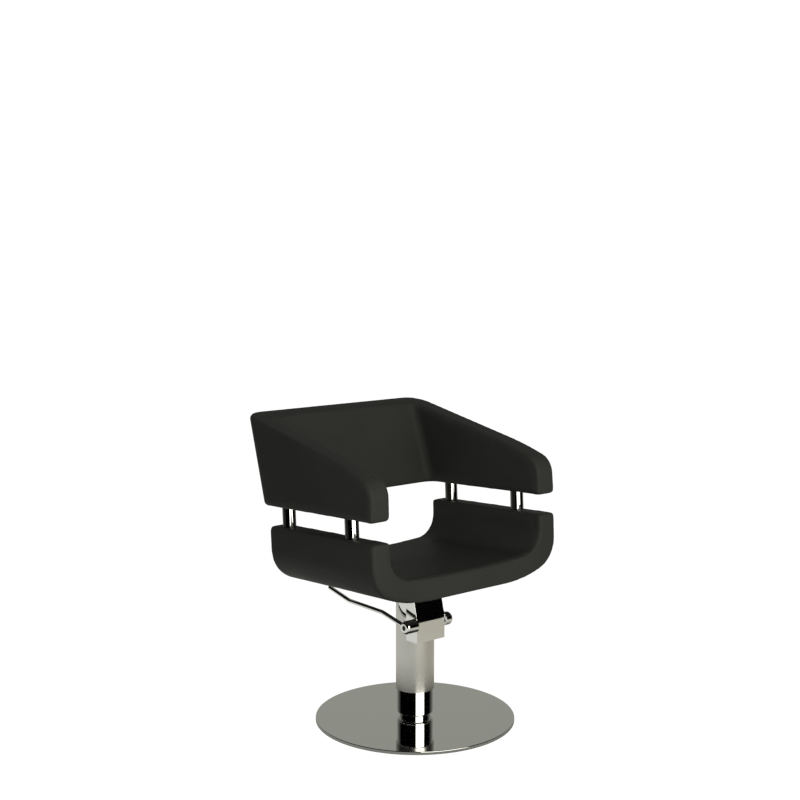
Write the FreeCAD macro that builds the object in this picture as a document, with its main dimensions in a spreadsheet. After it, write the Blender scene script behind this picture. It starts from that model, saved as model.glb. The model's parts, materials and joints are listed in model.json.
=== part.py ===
import FreeCAD, Part
import math
import operator
import os
import Sketcher
from FreeCAD import Placement, Rotation, Vector

# Salon chair on a hydraulic pump column: a round base plate, a chromed stem, a satin
# sleeve with the pump head, a channel-shaped seat shell and, on four chromed posts above
# it, one wrap-round shell that is back and arms together.
# Millimetres, +Z up, the sitter faces -Y, and the origin lies on the floor on the
# column's axis. The two upholstered shells lean back together by the rake angle.

SIZES = {
    # Base plate and the rubber ring let into its underside
    "plate_radius": 275.0,
    "plate_thickness": 9.0,
    "plate_edge_round": 2.0,
    "ring_inset": 13.0,
    "ring_width": 16.0,
    "ring_thickness": 2.5,
    "ring_proud": 0.5,
    "ring_clearance": 0.2,
    # Stem: the fixed outer cylinder of the pump, with a narrower neck at its foot
    "stem_radius": 50.25,
    "stem_wall": 5.0,
    "stem_neck_radius": 43.3,
    "stem_neck_height": 8.0,
    "stem_floor": 16.0,
    "stem_height": 258.5,
    "stem_screw_pitch": 21.0,
    "stem_screw_radius": 5.0,
    "stem_screw_head_radius": 9.0,
    "stem_screw_grip": 12.0,
    "screw_clearance": 0.15,
    # Gland that closes the stem and guides the ram, with its wiper seal
    "gland_depth": 34.0,
    "gland_flange": 4.0,
    "gland_clearance": 0.08,
    "seal_width": 5.0,
    "seal_depth": 7.0,
    "seal_squeeze": 0.05,
    # Ram, piston and the washer that the chair turns on
    "ram_radius": 20.0,
    "ram_clearance": 0.06,
    "ram_foot_gap": 14.0,
    "ram_flange_radius": 34.0,
    "ram_flange": 6.0,
    "ram_rest_gap": 0.3,
    "spigot_radius": 12.0,
    "spigot_length": 66.0,
    "piston_height": 20.0,
    "piston_clearance": 0.09,
    "piston_seal_width": 4.0,
    "piston_seal_height": 6.0,
    "piston_nut_height": 10.0,
    "piston_nut_radius": 17.0,
    "washer_thickness": 4.0,
    "keeper_radius": 18.0,
    "keeper_height": 5.0,
    "keeper_space": 2.0,
    # Sleeve that comes down over the stem, and the pump body in its top
    "sleeve_radius": 52.9,
    "sleeve_wall": 2.0,
    "sleeve_cover": 180.5,
    "body_clearance": 0.1,
    "pump_body_height": 101.0,
    # Head block: a saddle round the front of the sleeve that carries the lever's shaft
    "block_half_width": 49.8,
    "block_front": 66.8,
    "block_below_shaft": 49.2,
    "block_bend_rise": 11.0,
    "block_lean": 13.5,
    "block_top_front": 54.8,
    "block_wall": 1.3,
    "block_rear_bend_rise": 7.0,
    "block_rear_lean": 43.9,
    "block_wrap_rear": 5.5,
    "block_edge_round": 1.5,
    "block_clearance": 0.05,
    # Cross shaft, crank and plunger
    "shaft_rise": 2.7,
    "shaft_reach": 59.0,
    "shaft_radius": 5.0,
    "shaft_clearance": 0.05,
    "crank_hub_radius": 7.5,
    "crank_width": 12.0,
    "crank_arm": 17.0,
    "crank_arm_width": 7.0,
    "crank_lean": 20.0,
    "crank_space": 0.7,
    "roller_radius": 4.5,
    "roller_pin_radius": 1.8,
    "lever_swing": 28.0,
    "plunger_radius": 6.0,
    "plunger_length": 18.0,
    "plunger_clearance": 0.05,
    "plunger_gap": 0.3,
    "plunger_bore_end": 15.5,
    "spring_radius": 4.4,
    "spring_wire": 0.6,
    "spring_turns": 5.0,
    # Lever hub on the left end of the shaft, knob on the right end, and the lever
    "hub_radius": 18.0,
    "hub_end": 89.5,
    "hub_round": 8.0,
    "hub_plug_radius": 6.8,
    "hub_plug_depth": 7.0,
    "hub_plug_socket": 3.0,
    "hub_plug_socket_depth": 4.0,
    "side_gap": 0.3,
    "knob_radius": 18.2,
    "knob_length": 25.0,
    "knob_round": 11.0,
    "rod_radius": 6.0,
    "rod_offset": 80.0,
    "rod_flare": 2.0,
    "rod_rise": 12.4,
    "rod_level_drop": 11.1,
    "rod_end_rise": 12.1,
    "rod_first_run": 100.2,
    "rod_second_run": 142.1,
    "rod_last_run": 94.6,
    "rod_bend": 55.0,
    # Raked frame of the seat, measured from its front plane and the arms' underside
    "rake": 3.18,
    "front_reach": 213.8,
    # Half width over the arms; the seat is a step narrower each side
    "half_width": 323.0,
    "arm_wall": 63.3,
    "seat_step": 2.3,
    "seat_wall": 59.9,
    # Seat shell: a channel, open at the front and the rear
    "seat_length": 451.5,
    "seat_side_drop": 51.8,
    "seat_drop": 164.0,
    "seat_bottom_drop": 223.7,
    "seat_dish_radius": 3000.0,
    "seat_corner_radius": 66.0,
    "seat_outer_corner_width": 190.6,
    "seat_outer_corner_height": 105.6,
    "seat_outer_corner_radius": 87.3,
    # Back shell: back and arms in one, with a sloping top
    "arm_front_height": 107.9,
    "arm_slope": 14.1,
    "arm_nose_radius": 55.6,
    "arm_nose_start": 56.5,
    "arm_brow_run": 164.0,
    "back_rear": 506.8,
    "back_thickness": 58.6,
    "back_recline": 15.4,
    "back_blank_height": 262.0,
    "back_corner_radius": 60.0,
    "back_inner_corner_radius": 26.0,
    "side_lean": 1.45,
    # Upholstery: cover, foam and moulded core
    "edge_round": 8.0,
    "cover_thickness": 1.5,
    "core_inset": 20.0,
    # Posts between the two shells, and the studs through them
    "post_radius": 18.2,
    "post_wall": 2.0,
    "post_inset": 31.0,
    "post_front": 119.0,
    "post_rear_inset": 56.5,
    "stud_radius": 4.0,
    "stud_grip": 48.0,
    "stud_clearance": 0.1,
    # Steel plate under the seat, its bolts and the screws into the pump body
    "seat_plate_width": 230.0,
    "seat_plate_length": 200.0,
    "seat_plate_thickness": 6.0,
    "seat_plate_corner": 14.0,
    "seat_bolt_x": 92.0,
    "seat_bolt_s": 76.0,
    "seat_bolt_radius": 4.0,
    "seat_bolt_head_radius": 7.5,
    "seat_bolt_head": 5.0,
    "seat_bolt_grip": 36.0,
    "seat_bolt_clearance": 0.2,
    "plate_screw_pitch": 25.0,
    "plate_screw_radius": 4.0,
    "plate_screw_head_radius": 7.5,
    "plate_screw_length": 32.0,
    "plate_screw_head_sink": 0.1,
    # One overrun serves every cut
    "overrun": 5.0,
}

doc = FreeCAD.newDocument("salon_chair")
sheet = doc.addObject("Spreadsheet::Sheet", "Sizes")
for row, (name, number) in enumerate(SIZES.items(), start=1):
    sheet.set(f"A{row}", name)
    sheet.set(f"B{row}", str(number))
    sheet.setAlias(f"B{row}", name)
doc.recompute()


class Size:
    """A value with the sheet expression that gives it, so one sum both draws and binds."""

    def __init__(self, value, text):
        self.value = value
        self.text = text

    def __add__(self, other):
        return worked(self, "+", other)

    def __sub__(self, other):
        return worked(self, "-", other)

    def __mul__(self, other):
        return worked(self, "*", other)

    def __truediv__(self, other):
        return worked(self, "/", other)

    def __neg__(self):
        return Size(-self.value, f"(-{self.text})")


SIGNS = {"+": operator.add, "-": operator.sub, "*": operator.mul, "/": operator.truediv}


def worked(first, sign, second):
    second = second if isinstance(second, Size) else Size(second, str(second))
    return Size(SIGNS[sign](first.value, second.value), f"({first.text} {sign} {second.text})")


def sine(angle):
    return Size(math.sin(math.radians(angle.value)), f"sin({angle.text})")


def cosine(angle):
    return Size(math.cos(math.radians(angle.value)), f"cos({angle.text})")


def tangent(angle):
    return Size(math.tan(math.radians(angle.value)), f"tan({angle.text})")


def root(square):
    return Size(math.sqrt(square.value), f"sqrt({square.text})")


class Sheet:
    """Reads a named size from the sheet's table as sheet.name."""

    def __getattr__(self, name):
        return Size(SIZES[name], f"Sizes.{name}")


size = Sheet()
ZERO = Size(0.0, "0")

ALONG_X = Rotation(Vector(0, 1, 0), 90)
ALONG_Y = Rotation(Vector(1, 0, 0), -90)
UPRIGHT = Rotation()


def place(thing, x=ZERO, y=ZERO, z=ZERO, turn=UPRIGHT):
    """Puts a thing at x, y, z with a fixed turn, bound to the sheet."""
    thing.Placement = Placement(Vector(x.value, y.value, z.value), turn)
    for axis, length in (("x", x), ("y", y), ("z", z)):
        if length is not ZERO:
            thing.setExpression(f"Placement.Base.{axis}", length.text)
    return thing


def cylinder(name, radius, height, x=ZERO, y=ZERO, z=ZERO, turn=UPRIGHT):
    rod = doc.addObject("Part::Cylinder", name)
    rod.setExpression("Radius", radius.text)
    rod.setExpression("Height", height.text)
    return place(rod, x, y, z, turn)


def box(name, low, high):
    """A block between two corners, each given as x, y, z."""
    block = doc.addObject("Part::Box", name)
    for side, first, last in zip(("Length", "Width", "Height"), low, high):
        block.setExpression(side, (last - first).text)
    return place(block, *low)


def together(name, *pieces):
    """Separate solids held as one node."""
    group = doc.addObject("Part::Compound", name)
    group.Links = list(pieces)
    return group


def fused(name, *pieces):
    whole = doc.addObject("Part::MultiFuse", name)
    whole.Shapes = list(pieces)
    return whole


def cut(name, base, *tools):
    tool = tools[0] if len(tools) == 1 else fused(f"{name}_tools", *tools)
    result = doc.addObject("Part::Cut", name)
    result.Base = base
    result.Tool = tool
    return result


def new_body(name):
    body = doc.addObject("PartDesign::Body", name)
    doc.recompute()
    return body


def new_sketch(body, role, name, offset=None):
    """A sketch on one of the body's own origin planes, or parallel to it at an offset."""
    sketch = body.newObject("Sketcher::SketchObject", name)
    planes = [feature for feature in body.Origin.OriginFeatures if feature.Role == role]
    sketch.AttachmentSupport = [(planes[0], "")]
    sketch.MapMode = "FlatFace"
    if offset is not None:
        sketch.AttachmentOffset = Placement(Vector(0, 0, offset.value), UPRIGHT)
        sketch.setExpression("AttachmentOffset.Base.z", offset.text)
    return sketch


def arc_between(start, end, bend):
    """The arc under a half circle from start to end. Its centre lies left of the way for bend > 0."""
    radius = abs(bend.value)
    side = math.copysign(1, bend.value)
    chord = end - start
    left = Vector(-chord.y, chord.x, 0) / chord.Length
    reach = math.sqrt(max(radius ** 2 - chord.Length ** 2 / 4, 0))
    centre = (start + end) / 2 + left * reach * side
    first, last = (start, end) if side > 0 else (end, start)
    angles = [math.atan2(point.y - centre.y, point.x - centre.x) for point in (first, last)]
    circle = Part.Circle(centre, Vector(0, 0, 1), radius)
    return Part.ArcOfCircle(circle, angles[0], angles[1])


def outline(sketch, corners, closed=True):
    """Draws and binds an outline. Each corner is x, y and the bend of the edge that follows it."""
    points = [Vector(x.value, y.value, 0) for x, y, _ in corners]
    count = len(corners) if closed else len(corners) - 1
    starts = []
    for index in range(count):
        start = points[index]
        end = points[(index + 1) % len(points)]
        bend = corners[index][2]
        if bend is None:
            sketch.addGeometry(Part.LineSegment(start, end))
            starts.append((index, 1, 2))
        else:
            sketch.addGeometry(arc_between(start, end, bend))
            starts.append((index, 1, 2) if bend.value > 0 else (index, 2, 1))
    for index in range(count):
        edge, head, tail = starts[index]
        if closed or index + 1 < count:
            following = starts[(index + 1) % count]
            joint = Sketcher.Constraint("Coincident", edge, tail, following[0], following[1])
            sketch.addConstraint(joint)
        hold_point(sketch, edge, head, corners[index])
        bend = corners[index][2]
        if bend is not None:
            length = bend if bend.value > 0 else -bend
            number = sketch.addConstraint(Sketcher.Constraint("Radius", edge, length.value))
            sketch.setExpression(f"Constraints[{number}]", length.text)
    if not closed:
        edge, _, tail = starts[-1]
        hold_point(sketch, edge, tail, corners[-1])


def hold_point(sketch, edge, end, corner):
    """Ties a point to the sketch's axes: on an axis where its place is zero, else by a distance."""
    for kind, axis, length in (("DistanceX", -2, corner[0]), ("DistanceY", -1, corner[1])):
        if length is ZERO:
            sketch.addConstraint(Sketcher.Constraint("PointOnObject", edge, end, axis))
        else:
            rule = Sketcher.Constraint(kind, -1, 1, edge, end, length.value)
            number = sketch.addConstraint(rule)
            sketch.setExpression(f"Constraints[{number}]", length.text)


def turned(name, corners):
    """A lathe-turned piece about its own Z axis, from an outline of radius and height."""
    body = new_body(name)
    sketch = new_sketch(body, "XZ_Plane", f"{name}_outline")
    outline(sketch, corners)
    spin = body.newObject("PartDesign::Revolution", f"{name}_turning")
    spin.Profile = sketch
    spin.ReferenceAxis = (sketch, ["V_Axis"])
    spin.Angle = 360
    doc.recompute()
    return body


def padded(body, sketch, length, name, reverse=False, both_ways=False):
    pad = body.newObject("PartDesign::Pad", name)
    pad.Profile = sketch
    pad.setExpression("Length", length.text)
    pad.Reversed = reverse
    if both_ways:
        pad.SideType = "Symmetric"
    doc.recompute()
    return pad


def is_sharp(shape, edge):
    """True where the two faces that meet at the edge turn by more than the sharpness share."""
    faces = shape.ancestorsOfType(edge, Part.Face)
    if len(faces) != 2:
        return False
    middle = edge.valueAt((edge.FirstParameter + edge.LastParameter) / 2)
    normals = []
    for face in faces:
        u, v = face.Surface.parameter(middle)
        normals.append(face.normalAt(u, v))
    sharpness_share = 0.94
    return normals[0].dot(normals[1]) < sharpness_share


def softened(body, feature, radius, name, wanted=is_sharp):
    """Rounds the feature's edges that the test names."""
    shape = feature.Shape
    edges = [f"Edge{n}" for n, edge in enumerate(shape.Edges, start=1) if wanted(shape, edge)]
    fillet = body.newObject("PartDesign::Fillet", name)
    fillet.Base = (feature, edges)
    fillet.setExpression("Radius", radius.text)
    doc.recompute()
    return fillet


floor_top = size.ring_proud + size.plate_thickness
stem_top = floor_top + size.stem_height
gland_top = stem_top + size.gland_flange
flange_low = gland_top + size.ram_rest_gap
flange_top = flange_low + size.ram_flange
washer_top = flange_top + size.washer_thickness
shaft_z = washer_top + size.shaft_rise
trim_low = -(size.seat_bottom_drop + size.seat_plate_thickness)
column_s = (size.front_reach - trim_low * sine(size.rake)) / cosine(size.rake)
arm_height = (
    washer_top + size.pump_body_height
    + column_s * sine(size.rake) - trim_low * cosine(size.rake))
arm_half_width = size.half_width
arm_inner_half_width = arm_half_width - size.arm_wall
seat_half_width = size.half_width - size.seat_step
seat_inner_half_width = seat_half_width - size.seat_wall


def rake(thing, s=ZERO, rise=ZERO):
    """Puts a piece modelled in the seat's own frame (x, back, up) into its raked place."""
    lean = size.rake
    y = -size.front_reach + s * cosine(lean) + rise * sine(lean)
    z = arm_height - s * sine(lean) + rise * cosine(lean)
    place(thing, ZERO, y, z, Rotation(Vector(1, 0, 0), -lean.value))
    thing.setExpression("Placement.Rotation.Angle", (-lean).text)
    return thing


nodes = []


def keep(thing, name):
    thing.Label = name
    nodes.append(thing)
    return thing


# Base plate: a steel disc with a softened upper edge, drilled and countersunk for the stem

plate_low = size.ring_proud
edge_round = size.plate_edge_round
plate_disc = turned("plate_disc", [
    (ZERO, plate_low, None),
    (size.plate_radius, plate_low, None),
    (size.plate_radius, floor_top - edge_round, edge_round),
    (size.plate_radius - edge_round, floor_top, None),
    (ZERO, floor_top, None),
])
ring_space = size.ring_clearance
ring_radius = size.plate_radius - size.ring_inset
groove_outer = cylinder(
    "groove_outer", ring_radius + ring_space, size.ring_thickness)
groove_inner = cylinder(
    "groove_inner", ring_radius - size.ring_width - ring_space, size.ring_thickness)
ring_groove = cut("ring_groove", groove_outer, groove_inner)

screw_places = [(side, end) for side in (-1, 1) for end in (-1, 1)]
head_depth = size.stem_screw_head_radius - size.stem_screw_radius


def stem_screw(name, side, end, clearance):
    """A countersunk screw from under the plate up into the stem's floor, or its hole."""
    x = size.stem_screw_pitch * side
    y = size.stem_screw_pitch * end
    cone = doc.addObject("Part::Cone", f"{name}_head")
    cone.setExpression("Radius1", (size.stem_screw_head_radius + clearance).text)
    cone.setExpression("Radius2", (size.stem_screw_radius + clearance).text)
    cone.setExpression("Height", head_depth.text)
    place(cone, x, y, plate_low)
    length = size.plate_thickness + size.stem_screw_grip
    shank = cylinder(f"{name}_shank", size.stem_screw_radius + clearance, length, x, y, plate_low)
    return fused(name, cone, shank)


screws = []
screw_holes = []
for number, (side, end) in enumerate(screw_places, start=1):
    screws.append(stem_screw(f"stem_screw_{number}", side, end, ZERO))
    screw_holes.append(stem_screw(f"stem_screw_hole_{number}", side, end, size.screw_clearance))
keep(cut("base_plate", plate_disc, ring_groove, *screw_holes), "base_plate")
keep(together("stem_screws", *screws), "stem_screws")

ring_outer = cylinder("ring_outer", ring_radius, size.ring_thickness)
ring_inner = cylinder("ring_inner", ring_radius - size.ring_width, size.ring_thickness)
keep(cut("floor_ring", ring_outer, ring_inner), "floor_ring")

# Stem: a closed-bottomed tube whose foot is rounded in to a narrower neck

foot_round = size.stem_radius - size.stem_neck_radius
stem_bore = size.stem_radius - size.stem_wall
stem_floor_top = floor_top + size.stem_floor
stem_tube = turned("stem_tube", [
    (ZERO, floor_top, None),
    (size.stem_neck_radius, floor_top, None),
    (size.stem_neck_radius, floor_top + size.stem_neck_height, foot_round),
    (size.stem_radius, floor_top + size.stem_neck_height + foot_round, None),
    (size.stem_radius, stem_top, None),
    (stem_bore, stem_top, None),
    (stem_bore, stem_floor_top, None),
    (ZERO, stem_floor_top, None),
])
keep(cut("stem", stem_tube, *screw_holes), "stem")

# Gland: a bushed plug in the stem's mouth, with a flange on its rim and a wiper seal

gland_bore = size.ram_radius + size.ram_clearance
gland_skirt = stem_bore - size.gland_clearance
seal_pocket = gland_bore + size.seal_width
keep(turned("ram_gland", [
    (gland_bore, stem_top - size.gland_depth, None),
    (gland_skirt, stem_top - size.gland_depth, None),
    (gland_skirt, stem_top, None),
    (size.stem_radius, stem_top, None),
    (size.stem_radius, gland_top, None),
    (seal_pocket, gland_top, None),
    (seal_pocket, gland_top - size.seal_depth, None),
    (gland_bore, gland_top - size.seal_depth, None),
]), "ram_gland")
keep(turned("gland_seal", [
    (gland_bore, gland_top - size.seal_depth, None),
    (seal_pocket - size.seal_squeeze, gland_top - size.seal_depth, None),
    (seal_pocket - size.seal_squeeze, gland_top, None),
    (gland_bore, gland_top, None),
]), "gland_seal")

# Ram: the sliding rod of the pump, with a flange under the chair and a spigot to turn on

ram_foot = stem_floor_top + size.ram_foot_gap
nut_top = ram_foot + size.piston_nut_height
piston_top = nut_top + size.piston_height
spigot_top = flange_top + size.spigot_length
keep(turned("ram", [
    (ZERO, ram_foot, None),
    (size.spigot_radius, ram_foot, None),
    (size.spigot_radius, piston_top, None),
    (size.ram_radius, piston_top, None),
    (size.ram_radius, flange_low, None),
    (size.ram_flange_radius, flange_low, None),
    (size.ram_flange_radius, flange_top, None),
    (size.spigot_radius, flange_top, None),
    (size.spigot_radius, spigot_top, None),
    (ZERO, spigot_top, None),
]), "ram")

# Piston on the ram's foot, its seal ring and the nut that holds it

ram_hole = size.spigot_radius + size.shaft_clearance
piston_radius = stem_bore - size.piston_clearance
piston_groove = piston_radius - size.piston_seal_width
seal_low = nut_top + (size.piston_height - size.piston_seal_height) / 2
seal_high = seal_low + size.piston_seal_height
keep(turned("piston", [
    (ram_hole, nut_top, None),
    (piston_radius, nut_top, None),
    (piston_radius, seal_low, None),
    (piston_groove, seal_low, None),
    (piston_groove, seal_high, None),
    (piston_radius, seal_high, None),
    (piston_radius, piston_top, None),
    (ram_hole, piston_top, None),
]), "piston")
seal_outer = stem_bore - size.ram_clearance
keep(turned("piston_seal", [
    (piston_groove + size.seal_squeeze, seal_low, None),
    (seal_outer, seal_low, None),
    (seal_outer, seal_high, None),
    (piston_groove + size.seal_squeeze, seal_high, None),
]), "piston_seal")
nut_blank = doc.addObject("Part::Prism", "piston_nut_blank")
nut_blank.Polygon = 6
nut_blank.setExpression("Circumradius", size.piston_nut_radius.text)
nut_blank.setExpression("Height", size.piston_nut_height.text)
place(nut_blank, ZERO, ZERO, ram_foot)
nut_bore = cylinder("piston_nut_bore", ram_hole, size.piston_nut_height, z=ram_foot)
keep(cut("piston_nut", nut_blank, nut_bore), "piston_nut")

# Bronze washer on the ram's flange: the chair rests and turns on it

keep(turned("thrust_washer", [
    (ram_hole, flange_top, None),
    (size.ram_flange_radius, flange_top, None),
    (size.ram_flange_radius, washer_top, None),
    (ram_hole, washer_top, None),
]), "thrust_washer")

# Everything above is trimmed by the raked underside of the seat plate

head_blank_top = arm_height - size.seat_bottom_drop
trim_reach = seat_half_width


def raked_trim(name):
    """The space above the seat plate's underside."""
    block = doc.addObject("Part::Box", name)
    block.setExpression("Length", (trim_reach * 2).text)
    block.setExpression("Width", size.seat_length.text)
    block.setExpression("Height", size.seat_bottom_drop.text)
    rake(block, ZERO, trim_low)
    block.Placement.Base.x = -trim_reach.value
    block.setExpression("Placement.Base.x", (-trim_reach).text)
    return block


# Pump body: the casting in the sleeve's top that turns on the ram's spigot

shaft_y = -size.shaft_reach
crank_top = size.crank_arm * cosine(size.crank_lean) + size.roller_radius + size.crank_space
body_radius = size.sleeve_radius - size.sleeve_wall - size.body_clearance
keeper_top = spigot_top
keeper_low = spigot_top - size.keeper_height
body_blank = turned("pump_body_blank", [
    (ram_hole, washer_top, None),
    (body_radius, washer_top, None),
    (body_radius, head_blank_top, None),
    (size.keeper_radius + size.keeper_space, head_blank_top, None),
    (size.keeper_radius + size.keeper_space, keeper_low, None),
    (ram_hole, keeper_low, None),
])
swing_end = size.crank_lean + size.lever_swing
crank_reach = size.crank_arm * sine(swing_end) + size.roller_radius + size.crank_space
crank_half = size.crank_width / 2 + size.crank_space
window_low = shaft_z - size.crank_hub_radius - size.crank_space
window_high = shaft_z + crank_top


def crank_slot(name, rear):
    """Room for the crank's swing, from the shaft back to a given depth."""
    low = (-crank_half, shaft_y - size.crank_arm_width / 2, window_low)
    high = (crank_half, rear, window_high)
    return box(name, low, high)


plunger_z = shaft_z + size.crank_arm * (cosine(size.crank_lean) + cosine(swing_end)) / 2
roller_y = shaft_y + size.crank_arm * sine(size.crank_lean)
plunger_front = roller_y + size.roller_radius + size.plunger_gap
plunger_rear = plunger_front + size.plunger_length
bore_end = -size.plunger_bore_end
plunger_bore = cylinder(
    "plunger_bore", size.plunger_radius + size.plunger_clearance, bore_end - shaft_y,
    y=shaft_y, z=plunger_z, turn=ALONG_Y)

screw_pitch = size.plate_screw_pitch


def plate_screw(name, side, end, clearance):
    """A countersunk screw from the seat plate down into the pump body, or its hole."""
    radius = size.plate_screw_radius + clearance
    head = size.plate_screw_head_radius + clearance
    depth = size.plate_screw_head_radius - size.plate_screw_radius
    x = screw_pitch * side
    s = column_s + screw_pitch * end
    top = trim_low + size.seat_plate_thickness
    cone = doc.addObject("Part::Cone", f"{name}_head")
    cone.setExpression("Radius1", radius.text)
    cone.setExpression("Radius2", head.text)
    cone.setExpression("Height", depth.text)
    place(cone, x, s, top - depth - size.plate_screw_head_sink)
    shank = cylinder(
        f"{name}_shank", radius, size.plate_screw_length - size.plate_screw_head_sink,
        x, s, top - size.plate_screw_length)
    return cone, shank


plate_screws = []
plate_screw_holes = []
for number, (side, end) in enumerate(screw_places, start=1):
    solid = plate_screw(f"plate_screw_{number}", side, end, ZERO)
    plate_screws.append(fused(f"plate_screw_{number}", *solid))
    hole = plate_screw(f"plate_screw_hole_{number}", side, end, size.screw_clearance)
    relief = size.plate_screw_head_radius + size.screw_clearance
    sink_top = trim_low + size.seat_plate_thickness - size.plate_screw_head_sink
    mouth = cylinder(
        f"plate_screw_mouth_{number}", relief, size.overrun,
        screw_pitch * side, column_s + screw_pitch * end, sink_top)
    plate_screw_holes.extend((*hole, mouth))
raked_holes = rake(fused("plate_screw_holes", *plate_screw_holes))
keep(cut(
    "pump_body", body_blank, raked_trim("body_trim"), raked_holes, plunger_bore,
    crank_slot("body_slot", shaft_y + crank_reach)), "pump_body")
keep(rake(together("plate_screws", *plate_screws)), "plate_screws")

keep(turned("ram_keeper", [
    (ram_hole, keeper_low, None),
    (size.keeper_radius, keeper_low, None),
    (size.keeper_radius, keeper_top, None),
    (ram_hole, keeper_top, None),
]), "ram_keeper")

# Sleeve: a thin satin tube from just above the foot up to the seat plate

sleeve_low = stem_top - size.sleeve_cover
sleeve_bore = size.sleeve_radius - size.sleeve_wall
sleeve_tube = turned("sleeve_tube", [
    (sleeve_bore, sleeve_low, None),
    (size.sleeve_radius, sleeve_low, None),
    (size.sleeve_radius, head_blank_top, None),
    (sleeve_bore, head_blank_top, None),
])
keep(cut(
    "sleeve", sleeve_tube, raked_trim("sleeve_trim"),
    crank_slot("sleeve_slot", -size.plunger_bore_end)), "sleeve")

# Head block: a polished saddle, upright below and leaning back above, whose thin wall runs
# on round the sleeve and slopes back to its upper rear edge

block_low = shaft_z - size.block_below_shaft
block_bend_z = shaft_z + size.block_bend_rise
wrap_radius = size.sleeve_radius + size.block_wall
block_rear = -root(wrap_radius * wrap_radius - size.block_half_width * size.block_half_width)
rear_bend_z = shaft_z + size.block_rear_bend_rise
wrap_top = rear_bend_z + (size.block_wrap_rear - block_rear) / tangent(size.block_rear_lean)
front_top = -size.block_top_front
front_top_z = block_bend_z + (size.block_front - size.block_top_front) / tangent(size.block_lean)


def saddle(name, half_width):
    """The saddle's side outline as a prism, and the body that holds it."""
    body = new_body(f"{name}_body")
    sketch = new_sketch(body, "YZ_Plane", f"{name}_outline")
    outline(sketch, [
        (-size.block_front, block_low, None),
        (block_rear, block_low, None),
        (block_rear, rear_bend_z, None),
        (size.block_wrap_rear, wrap_top, None),
        (size.block_wrap_rear, head_blank_top, None),
        (front_top, head_blank_top, None),
        (front_top, front_top_z, None),
        (-size.block_front, block_bend_z, None),
    ])
    return body, padded(body, sketch, half_width * 2, f"{name}_pad", both_ways=True)


block_body, block_pad = saddle("block", size.block_half_width)
wrap_body, wrap_pad = saddle("wrap", wrap_radius + size.overrun)
wrap = doc.addObject("Part::Common", "block_wrap")
wrap.Base = wrap_body
wrap.Tool = cylinder("wrap_cylinder", wrap_radius, head_blank_top - block_low, z=block_low)


def is_front_edge(shape, edge):
    """The upright and leaning edges at the two sides of the block's front."""
    middle = edge.CenterOfMass
    at_side = abs(abs(middle.x) - size.block_half_width.value) < size.block_clearance.value
    ahead = middle.y < (front_top + size.block_clearance).value
    way = edge.tangentAt(edge.FirstParameter)
    runs_up = abs(way.z) > abs(way.x) + abs(way.y)
    return at_side and ahead and runs_up


softened(block_body, block_pad, size.block_edge_round, "block_rounding", is_front_edge)
block_bore = cylinder(
    "block_bore", size.sleeve_radius + size.block_clearance, head_blank_top, z=sleeve_low)
shaft_hole = cylinder(
    "shaft_hole", size.shaft_radius + size.shaft_clearance, size.block_half_width * 2,
    -size.block_half_width, shaft_y, shaft_z, ALONG_X)
crank_hub_room = cylinder(
    "crank_hub_room", size.crank_hub_radius + size.crank_space, crank_half * 2,
    -crank_half, shaft_y, shaft_z, ALONG_X)
keep(cut(
    "head_block", fused("block_blank", block_body, wrap), raked_trim("block_trim"),
    block_bore, shaft_hole,
    crank_hub_room, crank_slot("block_slot", -size.plunger_bore_end)), "head_block")

# Cross shaft with the crank at its middle; the crank's roller pushes the pump plunger

plug_seat = -(size.hub_end - size.hub_plug_depth)
knob_floor = size.block_half_width + size.side_gap
shaft_right = knob_floor + size.knob_length / 2
keep(cylinder(
    "cross_shaft", size.shaft_radius, shaft_right - plug_seat,
    plug_seat, shaft_y, shaft_z, ALONG_X), "cross_shaft")

shaft_bore = size.shaft_radius + size.shaft_clearance
crank_side = -size.crank_width / 2
crank_ring = cylinder(
    "crank_ring", size.crank_hub_radius, size.crank_width, crank_side, shaft_y, shaft_z, ALONG_X)
crank_web = doc.addObject("Part::Box", "crank_web")
crank_web.setExpression("Length", size.crank_width.text)
crank_web.setExpression("Width", size.crank_arm_width.text)
crank_web.setExpression("Height", size.crank_arm.text)
web_y = shaft_y - size.crank_arm_width / 2 * cosine(size.crank_lean)
web_z = shaft_z + size.crank_arm_width / 2 * sine(size.crank_lean)
place(crank_web, crank_side, web_y, web_z, Rotation(Vector(1, 0, 0), -size.crank_lean.value))
crank_web.setExpression("Placement.Rotation.Angle", (-size.crank_lean).text)
roller_z = shaft_z + size.crank_arm * cosine(size.crank_lean)
fork_radius = size.roller_radius + size.crank_space
fork_half = size.crank_width / 4
crank_fork = cylinder(
    "crank_fork", fork_radius, fork_half * 2, -fork_half, roller_y, roller_z, ALONG_X)
crank_bore = cylinder(
    "crank_bore", shaft_bore, size.crank_width, crank_side, shaft_y, shaft_z, ALONG_X)
crank_pin_hole = cylinder(
    "crank_pin_hole", size.roller_pin_radius + size.shaft_clearance, size.crank_width,
    crank_side, roller_y, roller_z, ALONG_X)
crank_blank = fused("crank_blank", crank_ring, crank_web)
keep(cut("pump_crank", crank_blank, crank_bore, crank_fork, crank_pin_hole), "pump_crank")
roller_half = fork_half - size.shaft_clearance
roller_disc = cylinder(
    "roller_disc", size.roller_radius, roller_half * 2, -roller_half, roller_y, roller_z, ALONG_X)
roller_bore = cylinder(
    "roller_bore", size.roller_pin_radius + size.shaft_clearance, roller_half * 2,
    -roller_half, roller_y, roller_z, ALONG_X)
keep(cut("crank_roller", roller_disc, roller_bore), "crank_roller")
keep(cylinder(
    "roller_pin", size.roller_pin_radius, size.crank_width,
    crank_side, roller_y, roller_z, ALONG_X), "roller_pin")

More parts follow.
